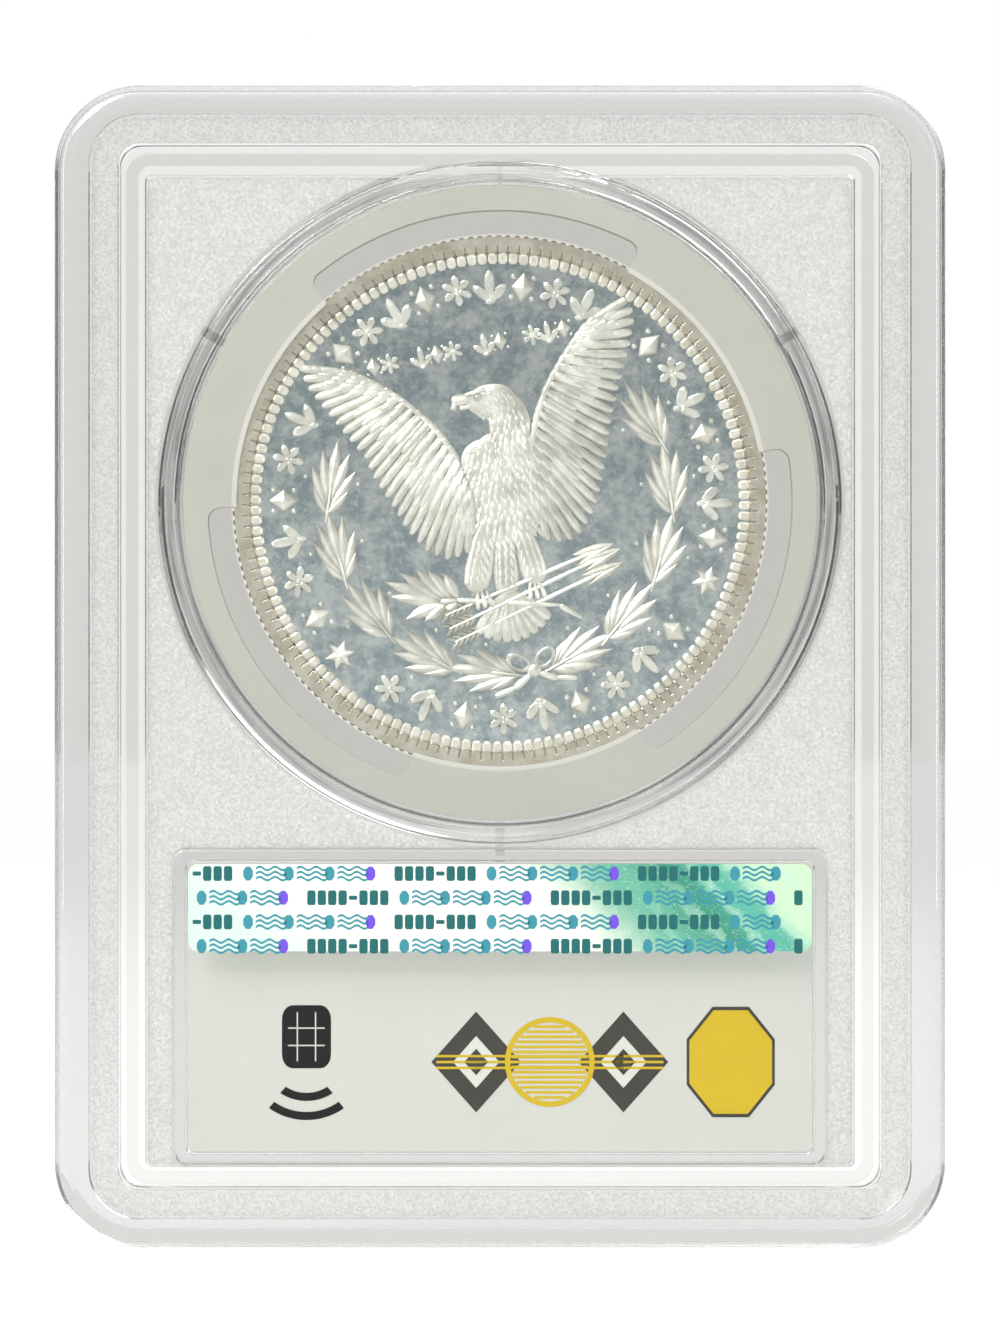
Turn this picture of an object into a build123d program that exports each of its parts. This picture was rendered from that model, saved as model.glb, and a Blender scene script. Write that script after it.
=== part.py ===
"""Graded coin slab: a coin in a soft ring and a printed label, sealed between two welded clear shells.

Frame: millimetres, +X across the width, +Z up the height, Y through the thickness, with the rear
(reverse) window towards -Y. The slab stands on its bottom edge, with the origin at the middle of that
edge. Every piece is drawn flat on the parting plane, Y = 0, and raised from it.
"""
import os
from math import cos, radians, sin

from build123d import *

# ---- overall ----
slab_width = 63.3
slab_height = 82.6
slab_thickness = 7.9
corner_radius = 6.05
edge_radius = 1.2
parting_chamfer = 0.15

# ---- outer face, from the outline inwards ----
rim_side_width = 2.45
rim_end_width = 2.05
channel_width = 2.05
channel_depth = 0.8
channel_corner_radius = 3.6
bead_side_width = 1.95
bead_top_width = 2.3
bead_bottom_width = 1.65
bead_height = 0.4
bead_corner_radius = 1.6
field_depth = 1.1
field_corner_radius = 0.5
soft_edge = 0.2

# ---- inner side of the shells ----
ring_wall = 1.85
coin_rise = 11.67
ring_notch_width = 0.65
ring_notch_angles = (30, 150, 270)
ring_slit_width = 0.3
ring_slit_angle = 90
weld_tongue_width = 0.8
weld_tongue_height = 0.6
weld_side_clearance = 0.05
weld_end_clearance = 0.1
weld_corner_radius = 1.3

# ---- label window ----
label_frame_width = 46.5
label_frame_height = 22.6
label_frame_wall = 0.86
label_frame_raise = 0.35
label_frame_corner = 0.9

# ---- coin ----
coin_diameter = 38.1
coin_thickness = 2.4
coin_rim_width = 1.15
coin_field_depth = 0.3
coin_rim_slope = 0.15
reed_count = 180
reed_depth = 0.12
reed_crest_share = 0.3
reed_flank_share = 0.2
coin_edge_chamfer = 0.12

# ---- soft ring ----
insert_radial_clearance = 0.1
insert_face_clearance = 0.02
coin_running_clearance = 0.05
coin_face_clearance = 0.05
lip_thickness = 0.18
grip_overlap = 0.28
gap_relief = 1.8
insert_back_wall = 1.7
gap_angle = 70
gap_corner_radius = 0.9
gap_count = 3
insert_turn = 6

# ---- label, tag and sticker ----
card_thickness = 0.3
card_side_clearance = 0.12
card_face_clearance = 0.04
card_corner_radius = 0.4
film_width = 17.0
film_height = 15.0
film_thickness = 0.06
film_offset = -13.8
film_corner_radius = 1.0
coil_margin = 0.8
coil_turns = 5
coil_pitch = 0.75
coil_track = 0.35
coil_thickness = 0.035
chip_size = 1.6
chip_thickness = 0.1
tag_gap = 0.02
sticker_side_margin = 0.24
sticker_height = 6.2
sticker_thickness = 0.08
sticker_corner_radius = 0.7
sticker_top_margin = 0.22

# ---- worked out from the sizes above ----
slab_middle = slab_height / 2
half_thickness = slab_thickness / 2
coin_height = slab_middle + coin_rise
coin_radius = coin_diameter / 2
channel_level = half_thickness - channel_depth
bead_level = channel_level + bead_height
field_level = half_thickness - field_depth
insert_half = coin_thickness / 2 + coin_face_clearance + lip_thickness
cavity_level = insert_half + insert_face_clearance
rim_step = rim_side_width + channel_width
rim_end_step = rim_end_width + channel_width
field_width = slab_width - 2 * (rim_step + bead_side_width)
field_bottom = rim_end_step + bead_bottom_width
field_top = slab_height - rim_end_step - bead_top_width
insert_gap_radius = coin_radius + gap_relief
insert_radius = insert_gap_radius + insert_back_wall
ring_inner_radius = insert_radius + insert_radial_clearance
ring_outer_radius = ring_inner_radius + ring_wall
label_middle = field_bottom + label_frame_height / 2
label_inner_width = label_frame_width - 2 * label_frame_wall
label_inner_height = label_frame_height - 2 * label_frame_wall
stack_half = card_thickness + (film_thickness + chip_thickness + tag_gap) / 2
film_level = stack_half - card_thickness - film_thickness
label_level = stack_half + card_face_clearance
card_width = label_inner_width - 2 * card_side_clearance
card_height = label_inner_height - 2 * card_side_clearance
sticker_width = label_inner_width - 2 * sticker_side_margin

REAR = Plane.XZ
FRONT = Plane(origin=(0, 0, 0), x_dir=(-1, 0, 0), z_dir=(0, 1, 0))


def rounded_plate(width, height, middle, radius, low, high):
    """A rounded rectangle about (0, middle), raised from one level to another."""
    outline = Pos(0, middle) * RectangleRounded(width, height, radius)
    return Pos(0, 0, low) * extrude(outline, high - low)


def disc(radius, high):
    """A round plate about the coin's axis, raised from the parting plane."""
    return Pos(0, coin_height) * extrude(Circle(radius), high)


def edges_at(solid, level, tolerance=0.001):
    """The edges that lie wholly in one level."""
    return [edge for edge in solid.edges()
            if abs(edge.bounding_box().min.Z - level) < tolerance
            and abs(edge.bounding_box().max.Z - level) < tolerance]


def weld_track(width):
    """The closed band, along the middle of the bead, that the weld follows."""
    centre_width = slab_width - 2 * rim_step - bead_side_width
    low = rim_end_step + bead_bottom_width / 2
    high = slab_height - rim_end_step - bead_top_width / 2
    middle = (low + high) / 2
    outer = RectangleRounded(centre_width + width, high - low + width,
                             weld_corner_radius + width / 2)
    inner = RectangleRounded(centre_width - width, high - low - width,
                             weld_corner_radius - width / 2)
    return Pos(0, middle) * (outer - inner)


def shell_blank():
    """One half of the case, without its weld or notches."""
    body = rounded_plate(slab_width, slab_height, slab_middle, corner_radius, 0, half_thickness)
    body = fillet(edges_at(body, half_thickness), edge_radius)
    body = chamfer(edges_at(body, 0), parting_chamfer)

    channel = rounded_plate(slab_width - 2 * rim_side_width, slab_height - 2 * rim_end_width,
                            slab_middle, channel_corner_radius, channel_level, half_thickness)
    body -= fillet(edges_at(channel, channel_level), soft_edge)

    bead = rounded_plate(slab_width - 2 * rim_step, slab_height - 2 * rim_end_step,
                         slab_middle, bead_corner_radius, cavity_level, bead_level)
    body += fillet(edges_at(bead, bead_level), soft_edge)

    field_height = field_top - field_bottom
    field_middle = (field_top + field_bottom) / 2
    field = rounded_plate(field_width, field_height, field_middle, field_corner_radius,
                          field_level, bead_level)
    body -= fillet(edges_at(field, field_level), soft_edge)

    frame = rounded_plate(label_frame_width, label_frame_height, label_middle,
                          label_frame_corner, cavity_level, field_level + label_frame_raise)
    frame = fillet(edges_at(frame, field_level + label_frame_raise), soft_edge)
    window = rounded_plate(label_inner_width, label_inner_height, label_middle,
                           label_frame_corner - soft_edge, field_level,
                           field_level + label_frame_raise)
    body += frame - fillet(edges_at(window, field_level), soft_edge)

    cavity = rounded_plate(field_width, field_height, field_middle, field_corner_radius,
                           0, cavity_level)
    cavity -= disc(ring_outer_radius, cavity_level)
    cavity -= rounded_plate(label_frame_width, label_frame_height, label_middle,
                            label_frame_corner, 0, cavity_level)
    body -= cavity
    body -= disc(ring_inner_radius, cavity_level)
    body -= rounded_plate(label_inner_width, label_inner_height, label_middle,
                          label_frame_corner - soft_edge, 0, label_level)
    return body


def ring_cut(angle, width):
    """A radial slot through the wall round the coin pocket, run out a little past both its faces."""
    middle_radius = (ring_inner_radius + ring_outer_radius) / 2
    slot = extrude(Rectangle(ring_wall + 2 * width, width), cavity_level)
    return Pos(0, coin_height) * Rot(0, 0, angle) * Pos(middle_radius, 0) * slot


def make_rear_shell():
    """Rear half: weld groove, and the slots that let air out of the coin pocket."""
    body = shell_blank()
    groove_depth = weld_tongue_height + weld_end_clearance
    body -= extrude(weld_track(weld_tongue_width + 2 * weld_side_clearance), groove_depth)
    for angle in ring_notch_angles:
        body -= ring_cut(angle, ring_notch_width)
    body -= ring_cut(ring_slit_angle, ring_slit_width)
    return REAR * body


def make_front_shell():
    """Front half: the weld tongue stands past the parting plane into the rear half's groove."""
    body = shell_blank()
    body += Pos(0, 0, -weld_tongue_height) * extrude(weld_track(weld_tongue_width),
                                                     weld_tongue_height)
    return FRONT * body


def reeded_outline():
    """The coin's edge as a ring of shallow ribs: a crest, a flank, a root and a flank to each."""
    step = 360 / reed_count
    root = coin_radius - reed_depth
    shares = ((0, coin_radius), (reed_crest_share, coin_radius),
              (reed_crest_share + reed_flank_share, root), (1 - reed_flank_share, root))
    points = []
    for reed in range(reed_count):
        for share, radius in shares:
            angle = radians((reed + share) * step)
            points.append((radius * cos(angle), radius * sin(angle)))
    return make_face(Polyline(*points, close=True))


def make_coin():
    """A struck disc: raised rim on both faces, sunk fields, reeded edge."""
    half = coin_thickness / 2
    rim_inner = coin_radius - coin_rim_width
    floor = half - coin_field_depth
    top = [(0, floor), (rim_inner - coin_rim_slope, floor), (rim_inner, half),
           (coin_radius - coin_edge_chamfer, half), (coin_radius, half - coin_edge_chamfer)]
    bottom = [(x, -y) for x, y in reversed(top)]
    profile = make_face(Polyline(*top, *bottom, close=True))
    blank = Plane.XZ * profile
    body = revolve(blank, Axis.Z)
    reeds = Pos(0, 0, -half) * extrude(reeded_outline(), coin_thickness)
    return REAR * (Pos(0, coin_height) * (body & reeds))


def gap_cutter():
    """One relieved stretch between two lands: a curved slot with rounded outer corners."""
    half_angle = gap_angle / 2
    inner = coin_radius - 2 * grip_overlap
    outer = insert_gap_radius

    def place(radius, angle):
        return (radius * cos(radians(angle)), radius * sin(radians(angle)))

    edges = [
        Line(place(inner, -half_angle), place(outer, -half_angle)),
        ThreePointArc(place(outer, -half_angle), place(outer, 0), place(outer, half_angle)),
        Line(place(outer, half_angle), place(inner, half_angle)),
        ThreePointArc(place(inner, half_angle), place(inner, 0), place(inner, -half_angle)),
    ]
    cutter = extrude(make_face(edges), 2 * insert_half)
    corners = [edge for edge in cutter.edges().filter_by(Axis.Z)
               if edge.center().X ** 2 + edge.center().Y ** 2 > coin_radius ** 2]
    return Pos(0, 0, -insert_half) * fillet(corners, gap_corner_radius)


def make_coin_insert():
    """Soft ring: three lands hold the coin's edge in a groove, with a thin lip over each face."""
    body = extrude(Circle(insert_radius), 2 * insert_half)
    body -= extrude(Circle(coin_radius - grip_overlap), 2 * insert_half)
    body = Pos(0, 0, -insert_half) * body
    groove_half = coin_thickness / 2 + coin_face_clearance
    groove = extrude(Circle(coin_radius + coin_running_clearance), 2 * groove_half)
    body -= Pos(0, 0, -groove_half) * groove
    for gap in range(gap_count):
        angle = ring_slit_angle + insert_turn + gap * 360 / gap_count
        body -= Rot(0, 0, angle) * gap_cutter()
    return REAR * (Pos(0, coin_height) * body)


def make_card(plane):
    """One card ply, lying against the window on its side."""
    high = stack_half
    return plane * rounded_plate(card_width, card_height, label_middle, card_corner_radius,
                                 high - card_thickness, high)


def make_tag_film():
    """Carrier film of the contactless tag, on the inner face of the rear ply."""
    outline = Pos(film_offset, label_middle) * RectangleRounded(film_width, film_height,
                                                                film_corner_radius)
    return REAR * (Pos(0, 0, film_level) * extrude(outline, film_thickness))


def make_tag_coil():
    """Flat spiral antenna: square turns, each one pitch inside the last."""
    half_width = film_width / 2 - coil_margin
    half_height = film_height / 2 - coil_margin
    points = [(-half_width, half_height)]
    for turn in range(coil_turns):
        inset = turn * coil_pitch
        points += [
            (half_width - inset, half_height - inset),
            (half_width - inset, -half_height + inset),
            (-half_width + inset, -half_height + inset),
            (-half_width + inset, half_height - inset - coil_pitch),
        ]
    track = trace(Polyline(*points), coil_track)
    return REAR * (Pos(film_offset, label_middle, film_level - coil_thickness)
                   * extrude(track, coil_thickness))


def make_tag_chip():
    """Bare chip in the middle of the film."""
    outline = Pos(film_offset, label_middle) * Rectangle(chip_size, chip_size)
    return REAR * (Pos(0, 0, film_level - chip_thickness) * extrude(outline, chip_thickness))


def make_security_sticker():
    """Foil strip on the outside of the rear label window, along its upper edge."""
    top = label_middle + label_inner_height / 2 - sticker_top_margin
    return REAR * rounded_plate(sticker_width, sticker_height, top - sticker_height / 2,
                                sticker_corner_radius, field_level,
                                field_level + sticker_thickness)


nodes = {
    "rear_shell": make_rear_shell,
    "front_shell": make_front_shell,
    "coin_insert": make_coin_insert,
    "coin": make_coin,
    "rear_label_card": lambda: make_card(REAR),
    "front_label_card": lambda: make_card(FRONT),
    "tag_film": make_tag_film,
    "tag_coil": make_tag_coil,
    "tag_chip": make_tag_chip,
    "security_sticker": make_security_sticker,
}

os.makedirs("parts", exist_ok=True)
for name, make in nodes.items():
    export_step(Part() + make(), f"parts/{name}.step")
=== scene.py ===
"""Graded coin slab: the looks of the sealed holder, its coin, its printed label and its foil strip."""
import math

import bpy
from mathutils import Matrix, Vector


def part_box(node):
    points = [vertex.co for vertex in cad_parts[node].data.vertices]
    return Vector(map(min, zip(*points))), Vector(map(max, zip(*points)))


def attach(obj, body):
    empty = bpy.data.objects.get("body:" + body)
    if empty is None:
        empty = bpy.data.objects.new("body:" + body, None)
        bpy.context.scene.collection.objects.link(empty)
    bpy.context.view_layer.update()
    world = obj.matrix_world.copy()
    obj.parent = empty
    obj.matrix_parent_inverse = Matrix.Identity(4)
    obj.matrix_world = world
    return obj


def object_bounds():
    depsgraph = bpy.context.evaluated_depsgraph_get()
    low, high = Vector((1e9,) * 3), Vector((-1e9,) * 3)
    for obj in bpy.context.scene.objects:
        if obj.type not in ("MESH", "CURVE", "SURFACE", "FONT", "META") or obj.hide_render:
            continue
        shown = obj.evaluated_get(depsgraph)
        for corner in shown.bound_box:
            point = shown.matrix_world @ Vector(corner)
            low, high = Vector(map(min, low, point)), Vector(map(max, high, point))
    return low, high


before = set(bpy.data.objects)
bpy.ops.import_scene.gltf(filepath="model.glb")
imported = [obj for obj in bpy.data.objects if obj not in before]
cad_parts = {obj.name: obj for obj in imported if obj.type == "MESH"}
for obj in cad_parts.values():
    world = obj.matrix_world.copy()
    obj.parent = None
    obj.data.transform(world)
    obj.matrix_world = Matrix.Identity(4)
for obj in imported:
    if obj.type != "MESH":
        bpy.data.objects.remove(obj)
cad_low, cad_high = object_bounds()
MM = 0.001

# The studio. The slab stands on a white sweep, with a large soft light above and to the left of the
# camera, soft strips to its sides and over it, one light behind it, bright white all round to the eye
# and darker walls in the glass at its sides, which draw the edges of the clear plastic.
scene = bpy.context.scene
slab_middle = (cad_low + cad_high) / 2
view_height = 95.1 * MM
camera_distance = 0.7
film_width = 36


def new_object(add, **settings):
    """Makes one new object with nothing else selected, and returns it."""
    bpy.ops.object.select_all(action="DESELECT")
    add(**settings)
    return bpy.context.object


camera = new_object(bpy.ops.object.camera_add, rotation=(math.radians(90), 0, 0),
                    location=(0, cad_low.y - camera_distance, slab_middle.z))
camera.name = "camera"
camera.data.sensor_fit = "AUTO"
camera.data.sensor_width = film_width
camera.data.lens = film_width * (camera_distance + slab_middle.y - cad_low.y) / view_height
camera.data.clip_start, camera.data.clip_end = 0.01, 20
scene.camera = camera
scene.view_settings.view_transform = "Standard"


def soft_light(name, place, size, power):
    """A soft box that faces the slab; its size is (width, height)."""
    light = new_object(bpy.ops.object.light_add, type="AREA", location=place)
    light.name = name
    light.data.shape = "RECTANGLE"
    light.data.size, light.data.size_y = size
    light.data.energy = power
    light.rotation_euler = (slab_middle - light.location).to_track_quat("-Z", "Y").to_euler()


strip_power = 1.6
soft_light("key_light", (-0.42, -0.55, 0.60), (0.45, 0.45), 4.6)
soft_light("glint_light", (-0.30, -0.62, 0.42), (0.08, 0.08), 2.0)
soft_light("left_strip", (-0.85, -0.55, 0.10), (0.12, 0.8), strip_power)
soft_light("right_strip", (0.85, -0.55, 0.10), (0.12, 0.8), strip_power)
soft_light("top_strip", (0.0, -0.45, 0.95), (0.9, 0.12), strip_power)
soft_light("back_light", (0.38, 0.70, 0.60), (0.5, 0.5), 4.0)
scene.cycles.max_bounces = 10
scene.cycles.diffuse_bounces = 2
scene.cycles.glossy_bounces = 4
scene.cycles.transmission_bounces = 10


class Wire:
    """A value that runs through a material. Sums written on it add the Math nodes that work them out."""

    def __init__(self, finish, socket):
        self.finish = finish
        self.socket = socket

    def sum(self, operation, *values):
        return self.finish.add("ShaderNodeMath", {"operation": operation}, dict(enumerate(values)))

    def __add__(self, other):
        return self.sum("ADD", self, other)

    def __sub__(self, other):
        return self.sum("SUBTRACT", self, other)

    def __rsub__(self, other):
        return self.sum("SUBTRACT", other, self)

    def __mul__(self, other):
        return self.sum("MULTIPLY", self, other)

    def __truediv__(self, other):
        return self.sum("DIVIDE", self, other)

    def __abs__(self):
        return self.sum("ABSOLUTE", self)

    __radd__ = __add__
    __rmul__ = __mul__

    def most(self, other):
        return self.sum("MAXIMUM", self, other)

    def least(self, other):
        return self.sum("MINIMUM", self, other)

    def rise(self, low, high):
        """0 below low, 1 above high and a smooth step between; low above high turns it round."""
        settings = {"interpolation_type": "SMOOTHSTEP"}
        if low < high:
            return self.finish.add("ShaderNodeMapRange", settings,
                                   {"Value": self, "From Min": low, "From Max": high})
        return 1 - self.rise(high, low)


class Finish:
    """A node tree being built: every node goes in through add, and wires come out of it."""

    def __init__(self, tree):
        self.tree = tree
        tree.nodes.clear()

    def add(self, kind, settings=None, values=None, out=0):
        node = self.tree.nodes.new(kind)
        for key, setting in (settings or {}).items():
            setattr(node, key, setting)
        for key, value in (values or {}).items():
            if isinstance(value, Wire):
                self.tree.links.new(value.socket, node.inputs[key])
            else:
                node.inputs[key].default_value = value
        return Wire(self, node.outputs[out])

    def mix(self, factor, first, second):
        """A colour between two colours; each is a wire or (red, green, blue)."""
        first, second = [c if isinstance(c, Wire) else (*c, 1) for c in (first, second)]
        return self.add("ShaderNodeMix", {"data_type": "RGBA"}, {0: factor, 6: first, 7: second}, out=2)

    def place(self):
        """x, y and z of the point in the object's own frame, in millimetres."""
        coords = self.add("ShaderNodeTexCoord", out=3)
        split = self.add("ShaderNodeSeparateXYZ", None, {0: coords})
        outs = split.socket.node.outputs
        return [Wire(self, outs[axis]) * (1 / MM) for axis in "XYZ"]

    def noise(self, size, detail=3, roughness=0.5, stretch=(1, 1, 1)):
        """Noise whose blobs are about size millimetres across."""
        coords = self.add("ShaderNodeTexCoord", out=3)
        scaled = self.add("ShaderNodeVectorMath", {"operation": "MULTIPLY"}, {0: coords, 1: stretch})
        return self.add("ShaderNodeTexNoise", None,
                        {"Vector": scaled, "Scale": 1 / (size * MM), "Detail": detail,
                         "Roughness": roughness})

    def bump(self, height, depth):
        """A bump of the given depth in millimetres."""
        return self.add("ShaderNodeBump", None,
                        {"Height": height, "Distance": depth * MM, "Strength": 1.0})

    def principled(self, values):
        return self.add("ShaderNodeBsdfPrincipled", None, values)

    def transparent(self, red, green, blue):
        return self.add("ShaderNodeBsdfTransparent", None, {"Color": (red, green, blue, 1)})

    def blend(self, share, first, second):
        """A surface between two surfaces."""
        return self.add("ShaderNodeMixShader", None, {0: share, 1: first, 2: second})

    def output(self, surface, kind="ShaderNodeOutputMaterial"):
        """The last node of the tree, which takes the finished surface."""
        last = self.tree.nodes.new(kind)
        self.tree.links.new(surface.socket, last.inputs["Surface"])


def new_material(name):
    material = bpy.data.materials.new(name)
    material.use_nodes = True
    return material, Finish(material.node_tree)


def coat_node(node, material):
    """Gives a CAD node its finished material."""
    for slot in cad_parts[node].material_slots:
        slot.material = material


world = bpy.data.worlds.new("studio")
scene.world = world
world.use_nodes = True
sky = Finish(world.node_tree)
direction = sky.add("ShaderNodeSeparateXYZ", None, {0: sky.add("ShaderNodeTexCoord", out=0)})
world_x, world_y = [Wire(sky, direction.socket.node.outputs[axis]) for axis in "XY"]
side_wall = abs(world_x).rise(0.32, 0.60) * world_y.rise(-0.45, -0.05)
front_room = (0 - world_y).rise(-0.1, 0.4)
camera_side = (0 - world_y).rise(0.965, 0.993)
front_dimming, camera_dimming, side_dimming = 0.36, 0.28, 0.92
brightness = 1.0 - front_room * front_dimming - camera_side * camera_dimming
brightness = brightness * (1 - side_wall * side_dimming)
room = sky.add("ShaderNodeBackground", None, {"Color": (1, 1, 0.99, 1), "Strength": brightness})
backdrop = sky.add("ShaderNodeBackground", None, {"Color": (1, 1, 1, 1), "Strength": 1.0})
seen_directly = sky.add("ShaderNodeLightPath", out=0)
sky.output(sky.blend(seen_directly, room, backdrop),
           "ShaderNodeOutputWorld")

sweep_width = 7
floor = new_object(bpy.ops.mesh.primitive_plane_add, size=sweep_width, location=(0, 0, cad_low.z))
floor.name = "floor"
floor_material, paper = new_material("white_sweep")
fibre = paper.noise(1.5, detail=2)
paper_tint = paper.mix(fibre, (0.20, 0.20, 0.20), (0.22, 0.22, 0.22))
paper.output(paper.principled({"Base Color": paper_tint, "Roughness": 0.8,
                               "Emission Color": (1, 1, 1, 1), "Emission Strength": 0.79}))
floor.data.materials.append(floor_material)

# The two shells. Each is injection moulded in clear polystyrene: the rim, the bead, the coin ring and
# the label window are polished in the mould, and the flat panels between them are spark-frosted.
coin_low, coin_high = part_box("coin")
card_low, card_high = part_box("rear_label_card")
coin_middle = (coin_low + coin_high) / 2
card_middle = (card_low + card_high) / 2
coin_radius = (coin_high.x - coin_low.x) / 2 / MM
window_radius, ring_outer_radius = 22.6, 24.5
rim_side_width, rim_end_width = 2.45, 2.05
channel_width = 2.05
channel_outer_corner, channel_inner_corner = 3.6, 1.6
field_side, field_top, field_bottom, field_corner = 6.45, 6.4, 5.75, 0.5
label_frame_wall, label_frame_corner, label_pane_corner = 0.98, 0.9, 0.5
polystyrene_ior = 1.59


def root(value):
    return value.sum("POWER", value, 0.5)


def about_coin(x, z):
    """A point's height over the coin's middle and its distance from the coin's axis, in millimetres."""
    over_z = z - coin_middle.z / MM
    return over_z, root(x * x + over_z * over_z)


def rounded_box(x, z, middle_x, middle_z, half_x, half_z, radius):
    """Distance outside a rounded rectangle, in millimetres; negative inside it."""
    over_x = abs(x - middle_x) - (half_x - radius)
    over_z = abs(z - middle_z) - (half_z - radius)
    out_x, out_z = over_x.most(0), over_z.most(0)
    outside = root(out_x * out_x + out_z * out_z)
    return outside + over_x.most(over_z).least(0) - radius


def polystyrene():
    material, f = new_material("clear_polystyrene")
    x, y, z = f.place()
    slab_x, slab_z = cad_high.x / MM, cad_high.z / MM
    middle_z = slab_z / 2

    channel_out = rounded_box(x, z, 0, middle_z, slab_x - rim_side_width,
                              middle_z - rim_end_width, channel_outer_corner)
    channel_in = rounded_box(x, z, 0, middle_z, slab_x - rim_side_width - channel_width,
                             middle_z - rim_end_width - channel_width, channel_inner_corner)
    channel = channel_out.rise(-0.05, -0.2) * channel_in.rise(0.05, 0.2)

    field = rounded_box(x, z, 0, (slab_z - field_top + field_bottom) / 2, slab_x - field_side,
                        (slab_z - field_top - field_bottom) / 2, field_corner)
    over_z, from_coin = about_coin(x, z)
    window = rounded_box(x, z, 0, card_middle.z / MM, card_high.x / MM + label_frame_wall,
                         (card_high.z - card_low.z) / 2 / MM + label_frame_wall, label_frame_corner)
    panel = field.rise(-0.05, -0.25) * from_coin.rise(ring_outer_radius - 0.05, ring_outer_radius + 0.1)
    panel = panel * window.rise(0.0, 0.15)
    frosted = channel.most(panel)

    # The clear and frosted glass colours carry painted shade: darker through the solid rim, the ring and
    # the label frame walls, lighter through the windows, the hollow panels and the bead.
    label_pane = rounded_box(x, z, 0, card_middle.z / MM, card_high.x / MM,
                             (card_high.z - card_low.z) / 2 / MM, label_pane_corner)
    in_window = from_coin.rise(window_radius + 0.05, window_radius - 0.05)
    pane = in_window.most(label_pane.rise(0.05, -0.05))
    grain = f.noise(0.20, detail=2, roughness=0.6)
    bead = channel_in.rise(0.05, -0.05) * field.rise(-0.1, 0.0)
    frame_wall = window.rise(0.0, -0.1) * label_pane.rise(0.0, 0.1)
    # Painted shade: the glass colour is set darker or lighter by region.
    shade = 0.70 + pane * 0.26 + panel * 0.14 + bead * 0.18 - frame_wall * 0.08

    # Painted shade on the ring: its colour is darker at its sides and in fine streaks, and lighter
    # towards its top and foot, most at the foot. It stands in for the dark sides of the room and the
    # bright floor seen through the curved walls.
    ring = from_coin.rise(window_radius + 0.05, window_radius + 0.15)
    ring = ring * from_coin.rise(ring_outer_radius - 0.05, ring_outer_radius - 0.15)
    across, upward = x / from_coin, over_z / from_coin
    round_ring = f.add("ShaderNodeCombineXYZ", None, {0: across * 3, 1: from_coin * 2.4, 2: upward * 3})
    painted_streaks = f.add("ShaderNodeTexNoise", None, {"Vector": round_ring, "Scale": 1.0, "Detail": 2})
    at_top_or_foot = upward.sum("POWER", abs(upward), 12)
    # Painted shade: darker at the ring's sides and in streaks, less at its top and foot.
    ring_painted_shade = (1 - at_top_or_foot) * 0.31 + painted_streaks.rise(0.48, 0.62) * 0.28 - 0.04
    ring_painted_shade = ring_painted_shade - (0 - upward).most(0) * 0.06
    shade = shade * (1 - ring * ring_painted_shade)
    glass = f.mix(shade, (0, 0, 0), (1.0, 1.0, 0.985))
    sparkle = f.mix(grain.rise(0.35, 0.65) * 0.26 + shade - 0.13, (0, 0, 0), (0.995, 1.0, 0.975))
    frost = f.principled({"Base Color": sparkle, "Roughness": 0.25, "IOR": polystyrene_ior,
                          "Transmission Weight": 1.0, "Normal": f.bump(grain, 0.03)})
    clear = f.principled({"Base Color": glass, "Roughness": 0.015, "IOR": polystyrene_ior,
                          "Transmission Weight": 1.0})
    plastic = f.blend(frosted, clear, frost)

    # The windows are flat, polished and even, so what lies behind them is seen straight through.
    glancing = f.add("ShaderNodeLayerWeight", None, {"Blend": 0.5}, out=1)
    gleam = glancing.sum("POWER", glancing, 5) * 0.8 + 0.004
    past_coin = from_coin.rise(coin_radius, coin_radius + 0.1)
    past_coin = past_coin * from_coin.rise(window_radius + 0.1, window_radius)
    thin_wall = f.transparent(0.965, 0.97, 0.96)
    thick_wall = f.transparent(0.865, 0.865, 0.85)
    see_through = f.blend(past_coin, thin_wall, thick_wall)
    gloss = f.add("ShaderNodeBsdfGlossy", None, {"Color": (1, 1, 1, 1), "Roughness": 0.03})
    window_pane = f.blend(gleam, see_through, gloss)
    plastic = f.blend(pane, plastic, window_pane)

    # The two halves touch on the plane between them, and light passes there as through one piece.
    joint = abs(y).rise(0.02, 0.01)
    inside = f.transparent(1, 1, 1)
    plastic = f.blend(joint, plastic, inside)
    dim = f.transparent(0.93, 0.94, 0.93)
    from_matt = f.add("ShaderNodeLightPath", out=2)
    plastic = f.blend(from_matt, plastic, dim)
    from_lamp = f.add("ShaderNodeLightPath", out=1)
    f.output(f.blend(from_lamp, plastic, dim))
    return material


shell_material = polystyrene()
for shell in ("rear_shell", "front_shell"):
    coat_node(shell, shell_material)

# The pocket ring's two walls meet end to end with rounded ends, which leaves a thin lens of air all
# the way round between them. It bends the light and draws part of the ring's dark and bright streaks;
# the rest are painted shade in the shells' colour.
ring_middle_radius = 23.58
air_lens_width, air_lens_depth = 1.55, 0.9


def open_edit():
    """Opens the active piece for editing with all of it selected."""
    bpy.ops.object.mode_set(mode="EDIT")
    bpy.ops.mesh.select_all(action="SELECT")


air_lens = new_object(bpy.ops.mesh.primitive_torus_add, major_radius=ring_middle_radius * MM,
                      minor_radius=air_lens_width / 2 * MM, major_segments=180, minor_segments=20)
air_lens.name = air_lens.data.name = "ring_air_lens"
open_edit()
bpy.ops.transform.resize(value=(1, 1, air_lens_depth / air_lens_width), center_override=(0, 0, 0))
bpy.ops.object.mode_set(mode="OBJECT")
air_lens.data.transform(Matrix.Translation(coin_middle) @ Matrix.Rotation(math.radians(90), 4, "X"))
bpy.ops.object.shade_smooth()


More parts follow.
